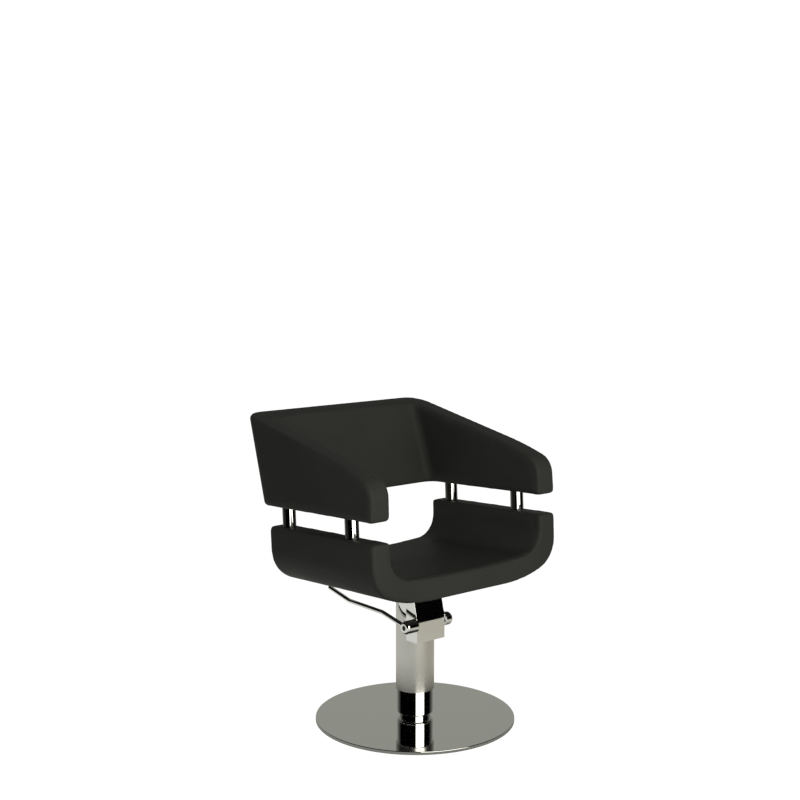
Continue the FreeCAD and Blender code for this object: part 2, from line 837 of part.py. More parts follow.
keep(cylinder(
    "pump_plunger", size.plunger_radius, size.plunger_length,
    ZERO, plunger_front, plunger_z, ALONG_Y), "pump_plunger")

# Plunger spring: a closed-in coil between the plunger and the end of its bore

spring_length = bore_end - plunger_rear
coil_length = spring_length.value - size.spring_wire.value * 2
coil_path = Part.makeHelix(
    coil_length / size.spring_turns.value, coil_length, size.spring_radius.value)
coil_start = Vector(size.spring_radius.value, 0, 0)
coil_section = Part.Wire(Part.makeCircle(size.spring_wire.value, coil_start, Vector(0, 1, 0)))
spring = doc.addObject("Part::Feature", "plunger_spring")
spring.Shape = Part.Wire(coil_path).makePipeShell([coil_section], True, True)
place(spring, ZERO, plunger_rear + size.spring_wire, plunger_z, ALONG_Y)
keep(spring, "plunger_spring")

# Lever hub: the round boss on the shaft's left end, closed by a socket plug

hub_inner = size.block_half_width + size.side_gap
hub_length = size.hub_end - hub_inner
hub_round = size.hub_round
plug_hole = size.hub_plug_radius + size.shaft_clearance
hub_blank = turned("hub_blank", [
    (shaft_bore, ZERO, None),
    (size.hub_radius, ZERO, None),
    (size.hub_radius, hub_length - hub_round, hub_round),
    (size.hub_radius - hub_round, hub_length, None),
    (plug_hole, hub_length, None),
    (plug_hole, hub_length - size.hub_plug_depth, None),
    (shaft_bore, hub_length - size.hub_plug_depth, None),
])
AWAY_X = Rotation(Vector(0, 1, 0), -90)
place(hub_blank, -hub_inner, shaft_y, shaft_z, AWAY_X)
rod_start = size.hub_plug_radius + size.crank_space
rod_turn = Rotation(Vector(0, 0, 1), size.rod_flare.value).multiply(
    Rotation(Vector(1, 0, 0), size.rod_rise.value))
rod_hole = cylinder(
    "rod_hole", size.rod_radius + size.shaft_clearance, size.hub_radius * 2,
    -size.rod_offset, shaft_y, shaft_z)
rod_aim = rod_turn.multVec(Vector(0, 1, 0))
rod_hole.Placement = Placement(
    rod_hole.Placement.Base + rod_aim * rod_start.value, Rotation(Vector(0, 0, 1), rod_aim))
for axis in ("x", "y", "z"):
    rod_hole.setExpression(f"Placement.Base.{axis}", None)
keep(cut("lever_hub", hub_blank, rod_hole), "lever_hub")

plug_blank = cylinder(
    "plug_blank", size.hub_plug_radius, size.hub_plug_depth,
    plug_seat, shaft_y, shaft_z, AWAY_X)
plug_socket = doc.addObject("Part::Prism", "plug_socket")
plug_socket.Polygon = 6
plug_socket.setExpression("Circumradius", size.hub_plug_socket.text)
plug_socket.setExpression("Height", (size.hub_plug_socket_depth + size.overrun).text)
socket_floor = -(size.hub_end - size.hub_plug_socket_depth)
place(plug_socket, socket_floor, shaft_y, shaft_z, AWAY_X)
keep(cut("hub_plug", plug_blank, plug_socket), "hub_plug")

# Knob: the domed chrome cap on the shaft's right end

knob_edge = size.knob_radius - size.knob_round
knob = turned("shaft_knob", [
    (ZERO, size.knob_length / 2, None),
    (shaft_bore, size.knob_length / 2, None),
    (shaft_bore, ZERO, None),
    (size.knob_radius, ZERO, None),
    (size.knob_radius, size.knob_length - size.knob_round, size.knob_round),
    (knob_edge, size.knob_length, None),
    (ZERO, size.knob_length, None),
])
keep(place(knob, knob_floor, shaft_y, shaft_z, ALONG_X), "shaft_knob")

# Lever: one bent round bar with a rounded tip, in a plane that flares from the column

first_end = size.rod_first_run - rod_start
down = -size.rod_level_drop
up = size.rod_end_rise - size.rod_level_drop
first_cut = size.rod_bend * tangent(size.rod_level_drop / 2)
second_cut = size.rod_bend * tangent(size.rod_end_rise / 2)
bend_1_end_y = first_end + first_cut * cosine(down)
bend_1_end_z = first_cut * sine(down)
corner_y = first_end + size.rod_second_run * cosine(down)
corner_z = size.rod_second_run * sine(down)
bend_2_start_y = corner_y - second_cut * cosine(down)
bend_2_start_z = corner_z - second_cut * sine(down)
bend_2_end_y = corner_y + second_cut * cosine(up)
bend_2_end_z = corner_z + second_cut * sine(up)
tip_y = corner_y + size.rod_last_run * cosine(up)
tip_z = corner_z + size.rod_last_run * sine(up)

lever = new_body("lever_rod")
lever_section = new_sketch(lever, "XZ_Plane", "lever_section")
lever_section.addGeometry(Part.Circle(Vector(0, 0, 0), Vector(0, 0, 1), size.rod_radius.value))
lever_section.addConstraint(Sketcher.Constraint("Coincident", 0, 3, -1, 1))
section_rule = lever_section.addConstraint(
    Sketcher.Constraint("Radius", 0, size.rod_radius.value))
lever_section.setExpression(f"Constraints[{section_rule}]", size.rod_radius.text)
lever_path = new_sketch(lever, "YZ_Plane", "lever_path")
outline(lever_path, [
    (ZERO, ZERO, None),
    (first_end - first_cut, ZERO, -size.rod_bend),
    (bend_1_end_y, bend_1_end_z, None),
    (bend_2_start_y, bend_2_start_z, size.rod_bend),
    (bend_2_end_y, bend_2_end_z, None),
    (tip_y, tip_z, None),
], closed=False)
lever_pipe = lever.newObject("PartDesign::AdditivePipe", "lever_pipe")
lever_pipe.Profile = lever_section
path_edges = [f"Edge{n}" for n in range(1, len(lever_path.Geometry) + 1)]
lever_pipe.Spine = (lever_path, path_edges)
doc.recompute()


def is_tip_edge(shape, edge):
    """The round edge at the lever's free end."""
    return edge.CenterOfMass.y > (tip_y - size.rod_radius).value


tip_round = size.rod_radius - size.crank_space
softened(lever, lever_pipe, tip_round, "lever_tip", is_tip_edge)
lever_base = Vector(-size.rod_offset.value, shaft_y.value, shaft_z.value)
lever.Placement = Placement(lever_base + rod_aim * rod_start.value, rod_turn)
keep(lever, "lever_rod")

# Seat shell: a channel of one wall, drawn as an outline across the seat and run from
# front to rear. The same outline, set in from every face, makes the foam and the core.


def channel_corners(inset):
    """Half of the channel's outline, from the seat's middle round to the bottom's middle."""
    dish = size.seat_dish_radius
    corner = size.seat_corner_radius
    inner = seat_inner_half_width
    outer = seat_half_width
    side_reach = inner - corner
    dish_centre = dish - size.seat_drop
    corner_h = dish_centre - root((dish - corner) * (dish - corner) - side_reach * side_reach)
    share = dish / (dish - corner)
    meet_x = side_reach * share
    meet_h = dish_centre + (corner_h - dish_centre) * share
    shrink_x = side_reach / (dish - corner) * inset
    shrink_h = (corner_h - dish_centre) / (dish - corner) * inset
    width = size.seat_outer_corner_width
    height = size.seat_outer_corner_height
    small = size.seat_outer_corner_radius
    large = ((width - small) * (width - small) + height * height - small * small) / (
        (height - small) * 2)
    bottom = -size.seat_bottom_drop
    gap = large - small
    turn_x = (width - small) / gap
    turn_h = (large - height) / gap
    turn_point_x = outer - small + small * turn_x
    turn_point_h = bottom + height - small * turn_h
    return [
        (meet_x + shrink_x, meet_h + shrink_h, corner + inset),
        (inner + inset, corner_h, None),
        (inner + inset, -size.seat_side_drop - inset, None),
        (outer - inset, -size.seat_side_drop - inset, None),
        (outer - inset, bottom + height, -(small - inset)),
        (turn_point_x - turn_x * inset, turn_point_h + turn_h * inset, -(large - inset)),
        (outer - width, bottom + inset, None),
    ]


def mirrored_outline(half, closing_bend):
    """The whole outline from its right half: the half, then the left half the other way."""
    left = []
    for index in range(len(half) - 1, -1, -1):
        bend = half[index - 1][2] if index else closing_bend
        left.append((-half[index][0], half[index][1], bend))
    return [*half, *left]


def seat_form(name, inset, rounding):
    body = new_body(name)
    sketch = new_sketch(body, "XZ_Plane", f"{name}_outline", -inset)
    closing = size.seat_dish_radius + inset
    outline(sketch, mirrored_outline(channel_corners(inset), closing))
    pad = padded(body, sketch, size.seat_length - inset * 2, f"{name}_run", reverse=True)
    if rounding is not None:
        softened(body, pad, rounding, f"{name}_edges")
    return body


# Back shell: a loft from the plan of its underside to a plan higher up the reclined back,
# cut to the arms' sloping top


def plan_corners(inset, height):
    """The plan of back and arms at a height above the arms' underside."""
    lean = tangent(size.side_lean) * height
    slant = tangent(size.back_recline)
    square = inset / cosine(size.back_recline)
    outer = arm_half_width - lean - inset
    inner = arm_inner_half_width - lean + inset
    rear = size.back_rear + slant * height - square
    front = size.back_rear - size.back_thickness + slant * height + square
    round_out = size.back_corner_radius - inset
    round_in = size.back_inner_corner_radius + inset
    return [
        (outer, inset, None),
        (outer, rear - round_out, round_out),
        (outer - round_out, rear, None),
        (-(outer - round_out), rear, round_out),
        (-outer, rear - round_out, None),
        (-outer, inset, None),
        (-inner, inset, None),
        (-inner, front - round_in, -round_in),
        (-(inner - round_in), front, None),
        (inner - round_in, front, -round_in),
        (inner, front - round_in, None),
        (inner, inset, None),
    ]


def back_form(name, inset, rounding):
    body = new_body(name)
    low = new_sketch(body, "XY_Plane", f"{name}_low", inset)
    outline(low, plan_corners(inset, inset))
    high = new_sketch(body, "XY_Plane", f"{name}_high", size.back_blank_height)
    outline(high, plan_corners(inset, size.back_blank_height))
    loft = body.newObject("PartDesign::AdditiveLoft", f"{name}_loft")
    loft.Profile = low
    loft.Sections = [high]
    loft.Ruled = True
    doc.recompute()
    top = new_sketch(body, "YZ_Plane", f"{name}_top")
    nose = size.arm_nose_radius
    start = size.arm_nose_start
    run = size.arm_brow_run
    across = cosine(size.arm_slope)
    climb = sine(size.arm_slope)
    reach_y = run * across - nose
    reach_h = size.arm_front_height + run * climb - start
    brow = (reach_y * reach_y + reach_h * reach_h - nose * nose) / (
        (reach_h * across - reach_y * climb - nose) * 2)
    brow_y = run * across + brow * climb
    brow_h = size.arm_front_height + run * climb - brow * across
    gap = brow - nose
    turn_y = (brow_y - nose) / gap
    turn_h = (start - brow_h) / gap
    meet_y = brow_y - climb * (brow - inset)
    meet_h = brow_h + across * (brow - inset)
    clear_top = size.back_blank_height + size.overrun
    clear_front = inset - size.overrun
    rear_y = meet_y + (clear_top - meet_h) / tangent(size.arm_slope)
    outline(top, [
        (clear_front, start, None),
        (inset, start, -(nose - inset)),
        (nose - turn_y * (nose - inset), start + turn_h * (nose - inset), -(brow - inset)),
        (meet_y, meet_h, None),
        (rear_y, clear_top, None),
        (clear_front, clear_top, None),
    ])
    before = body.Shape.Volume
    trim = body.newObject("PartDesign::Pocket", f"{name}_trim")
    trim.Profile = top
    trim.Type = "ThroughAll"
    trim.SideType = "Symmetric"
    doc.recompute()
    if not body.Shape.Volume < before:
        raise ValueError(f"{name}: the top was not cut")
    if rounding is not None:
        softened(body, trim, rounding, f"{name}_edges")
    return body


foam_round = size.edge_round - size.cover_thickness
seat_outer = seat_form("seat_outer", ZERO, size.edge_round)
seat_inner = seat_form("seat_inner", size.cover_thickness, foam_round)
seat_core = seat_form("seat_core_form", size.core_inset, None)
back_outer = back_form("back_outer", ZERO, size.edge_round)
back_inner = back_form("back_inner", size.cover_thickness, foam_round)
back_core = back_form("back_core_form", size.core_inset, None)

# Studs and posts: a stud runs from the seat's core through each post into the back's core

post_rear = size.seat_length - size.post_rear_inset
post_places = [
    ("left_front", -1, size.post_front),
    ("right_front", 1, size.post_front),
    ("left_rear", -1, post_rear),
    ("right_rear", 1, post_rear),
]
stud_low = -size.seat_side_drop - size.stud_grip
stud_length = size.seat_side_drop + size.stud_grip * 2
studs = []
stud_holes = []
for where, side, s in post_places:
    x = (size.half_width - size.post_inset) * side
    studs.append(cylinder(f"stud_{where}", size.stud_radius, stud_length, x, s, stud_low))
    hole_radius = size.stud_radius + size.stud_clearance
    stud_holes.append(cylinder(f"stud_hole_{where}", hole_radius, stud_length, x, s, stud_low))
    outer = cylinder(
        f"post_outer_{where}", size.post_radius, size.seat_side_drop,
        x, s, -size.seat_side_drop)
    inner = cylinder(
        f"post_inner_{where}", size.post_radius - size.post_wall, size.seat_side_drop,
        x, s, -size.seat_side_drop)
    keep(rake(cut(f"post_{where}", outer, inner)), f"post_{where}")
keep(rake(together("post_studs", *studs)), "post_studs")

# Seat plate, bolted up into the seat's core

plate_body = new_body("seat_plate_form")
plate_sketch = new_sketch(plate_body, "XY_Plane", "seat_plate_outline", trim_low)
half_x = size.seat_plate_width / 2
half_s = size.seat_plate_length / 2
corner = size.seat_plate_corner
plate_corners = []
for side, end in ((1, -1), (1, 1), (-1, 1), (-1, -1)):
    on_side = (half_x * side, column_s + (half_s - corner) * end)
    on_end = ((half_x - corner) * side, column_s + half_s * end)
    first, second = (on_end, on_side) if side * end < 0 else (on_side, on_end)
    plate_corners.append((*first, corner))
    plate_corners.append((*second, None))
outline(plate_sketch, plate_corners)
padded(plate_body, plate_sketch, size.seat_plate_thickness, "seat_plate_pad")

bolts = []
bolt_holes = []
for number, (side, end) in enumerate(screw_places, start=1):
    x = size.seat_bolt_x * side
    s = column_s + size.seat_bolt_s * end
    head = cylinder(
        f"seat_bolt_head_{number}", size.seat_bolt_head_radius, size.seat_bolt_head,
        x, s, trim_low - size.seat_bolt_head)
    shank = cylinder(
        f"seat_bolt_shank_{number}", size.seat_bolt_radius, size.seat_bolt_grip,
        x, s, trim_low)
    bolts.append(fused(f"seat_bolt_{number}", head, shank))
    bolt_holes.append(cylinder(
        f"seat_bolt_hole_{number}", size.seat_bolt_radius + size.seat_bolt_clearance,
        size.seat_bolt_grip, x, s, trim_low))
keep(rake(cut("seat_plate", plate_body, *bolt_holes, *plate_screw_holes)), "seat_plate")
keep(rake(together("seat_bolts", *bolts)), "seat_bolts")

# Cores, foams and covers, each with its holes

seat_cuts = [*bolt_holes, *stud_holes]
keep(rake(cut("seat_core", seat_core, *seat_cuts)), "seat_core")
keep(rake(cut("seat_foam", seat_inner, seat_core, *seat_cuts)), "seat_foam")
keep(rake(cut("seat_cover", seat_outer, seat_inner, *seat_cuts)), "seat_cover")
keep(rake(cut("back_core", back_core, *stud_holes)), "back_core")
keep(rake(cut("back_foam", back_inner, back_core, *stud_holes)), "back_foam")
keep(rake(cut("back_cover", back_outer, back_inner, *stud_holes)), "back_cover")

# Check and write

doc.recompute()
for thing in doc.Objects:
    if "Invalid" in thing.State or "Error" in thing.State:
        raise ValueError(f"{thing.Label} failed: {thing.State}")
os.makedirs("parts", exist_ok=True)
for thing in nodes:
    if thing.Shape.isNull() or not thing.Shape.isValid():
        raise ValueError(f"{thing.Label} has no valid shape")
    thing.Shape.exportStep(f"parts/{thing.Label}.step")
    print(f"{thing.Label}: {len(thing.Shape.Solids)} solid(s), {thing.Shape.Volume / 1000:.2f} cm3")
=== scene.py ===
import json
import math

import bpy
from mathutils import Matrix, Vector

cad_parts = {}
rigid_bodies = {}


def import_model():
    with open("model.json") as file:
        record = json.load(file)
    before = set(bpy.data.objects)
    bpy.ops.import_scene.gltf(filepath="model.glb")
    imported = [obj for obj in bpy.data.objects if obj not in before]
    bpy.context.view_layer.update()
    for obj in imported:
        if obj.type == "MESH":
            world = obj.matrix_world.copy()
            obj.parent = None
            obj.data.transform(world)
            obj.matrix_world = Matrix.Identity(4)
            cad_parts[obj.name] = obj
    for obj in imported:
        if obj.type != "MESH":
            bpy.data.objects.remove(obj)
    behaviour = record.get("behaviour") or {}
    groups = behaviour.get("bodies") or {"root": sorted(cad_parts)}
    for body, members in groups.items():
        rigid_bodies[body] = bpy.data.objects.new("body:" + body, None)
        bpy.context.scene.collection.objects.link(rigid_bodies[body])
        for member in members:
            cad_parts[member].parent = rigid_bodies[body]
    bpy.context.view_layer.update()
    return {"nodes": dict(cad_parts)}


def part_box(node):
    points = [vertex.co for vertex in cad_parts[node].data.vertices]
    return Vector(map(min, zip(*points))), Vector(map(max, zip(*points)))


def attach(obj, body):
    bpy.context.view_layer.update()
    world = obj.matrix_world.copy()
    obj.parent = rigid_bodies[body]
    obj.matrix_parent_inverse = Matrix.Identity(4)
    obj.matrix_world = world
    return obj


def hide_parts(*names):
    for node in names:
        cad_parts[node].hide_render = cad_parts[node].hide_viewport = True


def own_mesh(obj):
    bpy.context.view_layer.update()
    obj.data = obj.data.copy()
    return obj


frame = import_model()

nodes = frame["nodes"]

# Camera
# It stands ahead of the chair on the sitter's right, above the seat, and looks slightly
# down at it with a longish lens.

camera_data = bpy.data.cameras.new("camera")
camera_data.sensor_width = 36.0
camera_data.lens = 60.29
camera = bpy.data.objects.new("camera", camera_data)
bpy.context.scene.collection.objects.link(camera)
camera_turn = math.radians(-39.65)
camera_dip = math.radians(6.97)
camera_distance = 3.5866
camera_side = -0.0415
camera_height = 1.3265
look = Vector((-math.sin(camera_turn), math.cos(camera_turn), 0))
right = Vector((math.cos(camera_turn), math.sin(camera_turn), 0))
camera.location = right * camera_side - look * camera_distance + Vector((0, 0, camera_height))
camera.rotation_euler = (math.pi / 2 - camera_dip, 0, camera_turn)
bpy.context.scene.camera = camera

# Studio
# A round white floor under a white sky, and one large soft box at the camera's right. The
# sky is white to the eye, dim to matt surfaces and dark to mirrors, but for a pale backdrop
# behind the chair and a faint light low on the left.

bpy.context.scene.view_settings.view_transform = "Standard"


def link(tree, source, output, target, name):
    """Joins an output socket of one node to an input socket of another."""
    tree.links.new(source.outputs[output], target.inputs[name])


studio = bpy.data.worlds.new("studio")
bpy.context.scene.world = studio
studio.use_nodes = True
sky = studio.node_tree
sky.nodes.clear()
sky_out = sky.nodes.new("ShaderNodeOutputWorld")
paths = sky.nodes.new("ShaderNodeLightPath")


def sky_tone(strength, colour=(1, 1, 1)):
    """An even sky of one strength."""
    tone = sky.nodes.new("ShaderNodeBackground")
    tone.inputs["Color"].default_value = (*colour, 1)
    tone.inputs["Strength"].default_value = strength
    return tone


def rising(tree, source, output, start, end, low, high):
    """Turns a value that goes from start to end into one that goes from low to high."""
    ranged = tree.nodes.new("ShaderNodeMapRange")
    for name, value in zip(("From Min", "From Max", "To Min", "To Max"), (start, end, low, high)):
        ranged.inputs[name].default_value = value
    link(tree, source, output, ranged, "Value")
    return ranged


def along(tree, direction):
    """How far a direction of view, or a place on the floor, lies along another direction."""
    place = tree.nodes.new("ShaderNodeTexCoord")
    product = tree.nodes.new("ShaderNodeVectorMath")
    product.operation = "DOT_PRODUCT"
    product.inputs[1].default_value = direction
    return place, product


def choose(tree, ray, plain, special):
    """Shows the special shader to one kind of ray and the plain one to the rest."""
    mix = tree.nodes.new("ShaderNodeMixShader")
    link(tree, ray[0], ray[1], mix, "Fac")
    tree.links.new(plain.outputs[0], mix.inputs[1])
    tree.links.new(special.outputs[0], mix.inputs[2])
    return mix


white_to_eye = 1.05
horizon_light = 0.64
zenith_light = 0.22
mirror_tint = (0.98, 1, 0.90)
backdrop_light = 0.31
backdrop_from = 0.17
backdrop_to = 0.94
backdrop_fall = 1.5
room_light = 0.018
room_from = 0.75
room_to = 0.95
room_way = (right * -0.9 - Vector((0, 0, 0.44))).normalized()
upward, height_of = along(sky, (0, 0, 1))
link(sky, upward, "Generated", height_of, "Vector")
dim_sky = sky_tone(1)
dimming = rising(sky, height_of, "Value", 0, 1, horizon_light, zenith_light)
link(sky, dimming, "Result", dim_sky, "Strength")
rearward, depth_of = along(sky, look)
link(sky, rearward, "Generated", depth_of, "Vector")
mirror_sky = sky_tone(1, mirror_tint)
backdrop = rising(sky, depth_of, "Value", backdrop_from, backdrop_to, 0, 1)
faded = sky.nodes.new("ShaderNodeMath")
faded.operation = "POWER"
faded.inputs[1].default_value = backdrop_fall
link(sky, backdrop, "Result", faded, 0)
dimmed = sky.nodes.new("ShaderNodeMath")
dimmed.operation = "MULTIPLY"
dimmed.inputs[1].default_value = backdrop_light
link(sky, faded, "Value", dimmed, 0)
leftward, side_of = along(sky, room_way)
link(sky, leftward, "Generated", side_of, "Vector")
room = rising(sky, side_of, "Value", room_from, room_to, 0, room_light)
both_lights = sky.nodes.new("ShaderNodeMath")
both_lights.operation = "ADD"
link(sky, dimmed, "Value", both_lights, 0)
link(sky, room, "Result", both_lights, 1)
link(sky, both_lights, "Value", mirror_sky, "Strength")
matt_or_mirror = choose(sky, (paths, "Is Glossy Ray"), dim_sky, mirror_sky)
any_ray = choose(sky, (paths, "Is Camera Ray"), matt_or_mirror, sky_tone(white_to_eye))
link(sky, any_ray, "Shader", sky_out, "Surface")


key_bearing = math.radians(31.8)
key_distance = 2.2
key_width = 2.17
key_low = 0.03
key_high = 2.3
key_radiance = 2.6
key_data = bpy.data.lights.new("key_light", "AREA")
key_data.shape = "RECTANGLE"
key_data.size = key_width
key_data.size_y = key_high - key_low
key_data.energy = key_radiance * math.pi * key_width * (key_high - key_low)
key_data.color = (1.0, 0.98, 0.90)
key_light = bpy.data.objects.new("key_light", key_data)
bpy.context.scene.collection.objects.link(key_light)
key_way = -(Matrix.Rotation(key_bearing, 3, "Z") @ look)
key_light.location = key_way * key_distance + Vector((0, 0, (key_low + key_high) / 2))
key_light.rotation_euler = (-key_way).to_track_quat("-Z", "Y").to_euler()
key_light.visible_camera = False

# The floor is white to the eye and dark grey to matt surfaces. To mirrors it shows a painted glow
# that stands in for lit floor: dimmer and warmer to the right, brighter and paler to the left,
# with a painted shadow round the plate.
floor_radius = 2.15
floor_albedo = (0.2, 0.2, 0.2)
glow_way = (-0.98, 0.17, 0)
glow_reach = 0.7
glow_near = 0.49
glow_far = 0.70
painted_glow_warm = (1.0, 0.965, 0.83)
painted_glow_pale = (1.0, 1.0, 0.96)
shade_from = 0.29
shade_to = 0.5
shade_depth = 0.35
bpy.ops.object.select_all(action="DESELECT")
bpy.ops.mesh.primitive_circle_add(vertices=128, radius=floor_radius, fill_type="NGON")
floor = bpy.context.object
floor.name = "studio_floor"
floor_paint = bpy.data.materials.new("floor_paint")
floor_paint.use_nodes = True
floor_tree = floor_paint.node_tree
floor_matt = floor_tree.nodes["Principled BSDF"]
floor_matt.inputs["Base Color"].default_value = (*floor_albedo, 1)
floor_matt.inputs["Roughness"].default_value = 0.9
floor_matt.inputs["Specular IOR Level"].default_value = 0.0
floor_paths = floor_tree.nodes.new("ShaderNodeLightPath")
floor_place, floor_reach = along(floor_tree, glow_way)
link(floor_tree, floor_place, "Object", floor_reach, "Vector")
painted_floor_glow = floor_tree.nodes.new("ShaderNodeEmission")
painted_glow_tint = floor_tree.nodes.new("ShaderNodeValToRGB")
painted_glow_tint.color_ramp.elements[0].color = (*painted_glow_warm, 1)
painted_glow_tint.color_ramp.elements[1].color = (*painted_glow_pale, 1)
glow_side = rising(floor_tree, floor_reach, "Value", -glow_reach, glow_reach, 0, 1)
link(floor_tree, glow_side, "Result", painted_glow_tint, "Fac")
link(floor_tree, painted_glow_tint, "Color", painted_floor_glow, "Color")
glow_fall = rising(
    floor_tree, floor_reach, "Value", -glow_reach, glow_reach, glow_near, glow_far)
floor_span = floor_tree.nodes.new("ShaderNodeVectorMath")
floor_span.operation = "LENGTH"
link(floor_tree, floor_place, "Object", floor_span, "Vector")
# Painted shadow round the plate: the glow that mirrors see is dimmed near the middle of the floor
# and comes back to full further out.
painted_plate_shadow = rising(floor_tree, floor_span, "Value", shade_from, shade_to, shade_depth, 1)
floor_strength = floor_tree.nodes.new("ShaderNodeMath")
floor_strength.operation = "MULTIPLY"
link(floor_tree, glow_fall, "Result", floor_strength, 0)
link(floor_tree, painted_plate_shadow, "Result", floor_strength, 1)
link(floor_tree, floor_strength, "Value", painted_floor_glow, "Strength")
floor_white = floor_tree.nodes.new("ShaderNodeEmission")
floor_white.inputs["Strength"].default_value = white_to_eye
seen_in_metal = choose(floor_tree, (floor_paths, "Is Glossy Ray"), floor_matt, painted_floor_glow)
floor_mix = choose(floor_tree, (floor_paths, "Is Camera Ray"), seen_in_metal, floor_white)
link(floor_tree, floor_mix, "Shader", floor_tree.nodes["Material Output"], "Surface")
floor.data.materials.append(floor_paint)

# Base plate
# One round plate of polished steel, 550 mm across and 9 mm thick, with a softened rim.
# It lies on a rubber ring, and four screws hold the stem to it from below.


def chosen(piece, wanted):
    """Selects the faces whose middle and normal the test wants, and nothing else."""
    bpy.ops.mesh.select_all(action="DESELECT")
    bpy.ops.object.mode_set(mode="OBJECT")
    for face in piece.data.polygons:
        face.select = bool(wanted(face.center, face.normal))
    bpy.ops.object.mode_set(mode="EDIT")


smooth_angle = 35


def smooth_shade(piece, angle):
    """Smooth shading over gentle edges, with the wide faces kept flat."""
    bpy.ops.object.shade_smooth_by_angle(angle=math.radians(angle))
    weigh = piece.modifiers.new("flat_faces", "WEIGHTED_NORMAL")
    weigh.keep_sharp = True
    bpy.ops.object.modifier_apply(modifier="flat_faces")


def lathe(name, rings, around=96, hollow=False):
    """Turns a piece about Z by drawing a disc up through rings of radius and height, in metres."""
    bpy.ops.object.select_all(action="DESELECT")
    radius, height = rings[0]
    bpy.ops.mesh.primitive_circle_add(
        vertices=around, radius=radius, fill_type="NGON", location=(0, 0, height))
    piece = bpy.context.object
    piece.name = piece.data.name = name
    bpy.ops.object.transform_apply(location=True, rotation=True, scale=True)
    bpy.ops.object.mode_set(mode="EDIT")
    bpy.ops.mesh.select_mode(type="FACE")
    bpy.ops.mesh.select_all(action="SELECT")
    for next_radius, next_height in rings[1:]:
        bpy.ops.mesh.extrude_region_move(
            TRANSFORM_OT_translate={"value": (0, 0, next_height - height)})
        scale = next_radius / radius
        bpy.ops.transform.resize(value=(scale, scale, 1), center_override=(0, 0, 0))
        radius, height = next_radius, next_height
    if hollow:
        chosen(piece, lambda middle, normal: middle.xy.length < 1e-5)
        bpy.ops.mesh.delete(type="ONLY_FACE")
        bpy.ops.mesh.select_mode(type="EDGE")
        bpy.ops.mesh.select_non_manifold(extend=False)
        bpy.ops.mesh.bridge_edge_loops()
    bpy.ops.mesh.select_all(action="SELECT")
    bpy.ops.mesh.normals_make_consistent(inside=False)
    bpy.ops.object.mode_set(mode="OBJECT")
    smooth_shade(piece, smooth_angle)
    return piece


def corner_arc(centre, radius, start, end, steps=6):
    """Rings along a quarter-like arc in the turning plane, angles in degrees from outward."""
    rings = []
    for step in range(steps + 1):
        angle = math.radians(start + (end - start) * step / steps)
        rings.append((
            centre[0] + radius * math.cos(angle), centre[1] + radius * math.sin(angle)))
    return rings


def finish_nodes(name, colour, roughness, metallic=1.0):
    """A new material with its shader, and the piece's own coordinates to draw patterns on."""
    material = bpy.data.materials.new(name)
    material.use_nodes = True
    tree = material.node_tree
    shader = tree.nodes["Principled BSDF"]
    shader.inputs["Base Color"].default_value = (*colour, 1)
    shader.inputs["Roughness"].default_value = roughness
    shader.inputs["Metallic"].default_value = metallic
    place = tree.nodes.new("ShaderNodeTexCoord")
    return material, tree, shader, place


def cloudy(tree, place, scale, detail=3.0, stretch=(1, 1, 1)):
    """A cloudy pattern on the piece's own coordinates."""
    mapping = tree.nodes.new("ShaderNodeMapping")
    mapping.inputs["Scale"].default_value = stretch
    link(tree, place, "Object", mapping, "Vector")
    pattern = tree.nodes.new("ShaderNodeTexNoise")
    pattern.inputs["Scale"].default_value = scale
    pattern.inputs["Detail"].default_value = detail
    link(tree, mapping, "Vector", pattern, "Vector")
    return pattern


def relief(tree, shader, source, output, depth, strength):
    """Bump from a pattern, depth in metres."""
    bump = tree.nodes.new("ShaderNodeBump")
    bump.inputs["Distance"].default_value = depth
    bump.inputs["Strength"].default_value = strength
    link(tree, source, output, bump, "Height")
    link(tree, bump, "Normal", shader, "Normal")
    return bump


cloud_low = 0.3
cloud_high = 0.7
least_roughness = 0.015
cloud_scale = 14.0
grain_strength = 0.25


def metal(name, colour, roughness, spread=0.03, grain=900.0, stretch=(1, 1, 1), depth=0.00002):
    """A metal whose polish varies a little and carries a faint grain."""
    material, tree, shader, place = finish_nodes(name, colour, roughness)
    cloud = cloudy(tree, place, cloud_scale)
    worn = rising(tree, cloud, "Fac", cloud_low, cloud_high,
                  max(roughness - spread, least_roughness), roughness + spread)
    link(tree, worn, "Result", shader, "Roughness")
    fine = cloudy(tree, place, grain, 2.0, stretch)
    relief(tree, shader, fine, "Fac", depth, grain_strength)
    return material


def dress(piece, material, body=None, stands_for=()):
    """Gives a piece its material, and a new piece also its body, and hides the CAD nodes it stands
    for.
    """
    piece.data.materials.clear()
    piece.data.materials.append(material)
    if body:
        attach(piece, body)
    if stands_for:
        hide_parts(*stands_for)
    return piece


plate_low, plate_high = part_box("base_plate")
plate_radius = plate_high.x
plate_top = plate_high.z
plate_round = 0.002
plate_foot_break = 0.0006
plate_rings = (0.14, 0.055)
rim = corner_arc((plate_radius - plate_round, plate_top - plate_round), plate_round, 0, 90)
base_plate = lathe("plate", [
    (plate_radius - plate_foot_break, plate_low.z),
    (plate_radius, plate_low.z + plate_foot_break), *rim,
    *((radius, plate_top) for radius in plate_rings)], around=256)
plate_steel = metal(
    "plate_steel", colour=(0.86, 0.86, 0.84), roughness=0.03, spread=0.01, grain=700.0,
    depth=0.000001)
dress(base_plate, plate_steel, "base", ["base_plate"])

